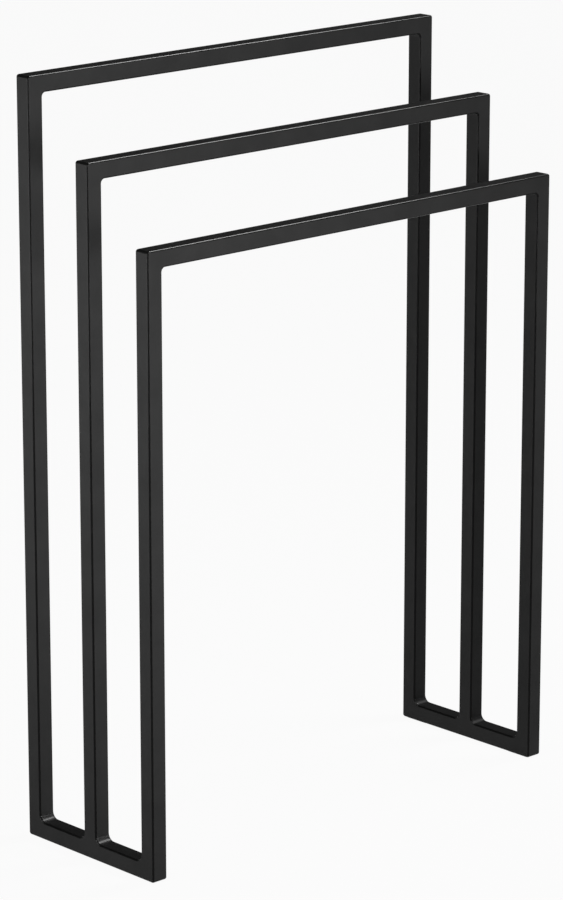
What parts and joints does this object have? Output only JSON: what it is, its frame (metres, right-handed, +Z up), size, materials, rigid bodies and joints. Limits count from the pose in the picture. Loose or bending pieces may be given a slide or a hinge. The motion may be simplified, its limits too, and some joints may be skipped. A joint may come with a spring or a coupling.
{
  "type": "freestanding towel stand",
  "caption": "Freestanding towel stand: stepped portals of square black steel tube, welded one behind the other onto low foot rails.",
  "frame": {"origin": "middle of the footprint, on the floor", "axes": "+X along the top rails, +Y to the back (the highest portal), +Z up"},
  "size_m": [0.61, 0.21, 0.86],
  "materials": {
    "powder_coat": "matt black powder coat on steel",
    "pad_rubber": "matt"
  },
  "bodies": {
    "root": {"top_rail_front": "powder_coat", "corner_welds_front_portal": "powder_coat", "top_rail_middle": "powder_coat", "corner_welds_middle_portal": "powder_coat", "top_rail_rear": "powder_coat", "corner_welds_rear_portal": "powder_coat", "foot_rail_left": "powder_coat", "corner_welds_left_foot": "powder_coat", "upright_left_front": "powder_coat", "upright_left_middle": "powder_coat", "upright_left_rear": "powder_coat", "floor_pad_left_front": "pad_rubber", "floor_pad_left_rear": "pad_rubber", "foot_rail_right": "powder_coat", "corner_welds_right_foot": "powder_coat", "upright_right_front": "powder_coat", "upright_right_middle": "powder_coat", "upright_right_rear": "powder_coat", "floor_pad_right_front": "pad_rubber", "floor_pad_right_rear": "pad_rubber"}
  },
  "joints": []
}
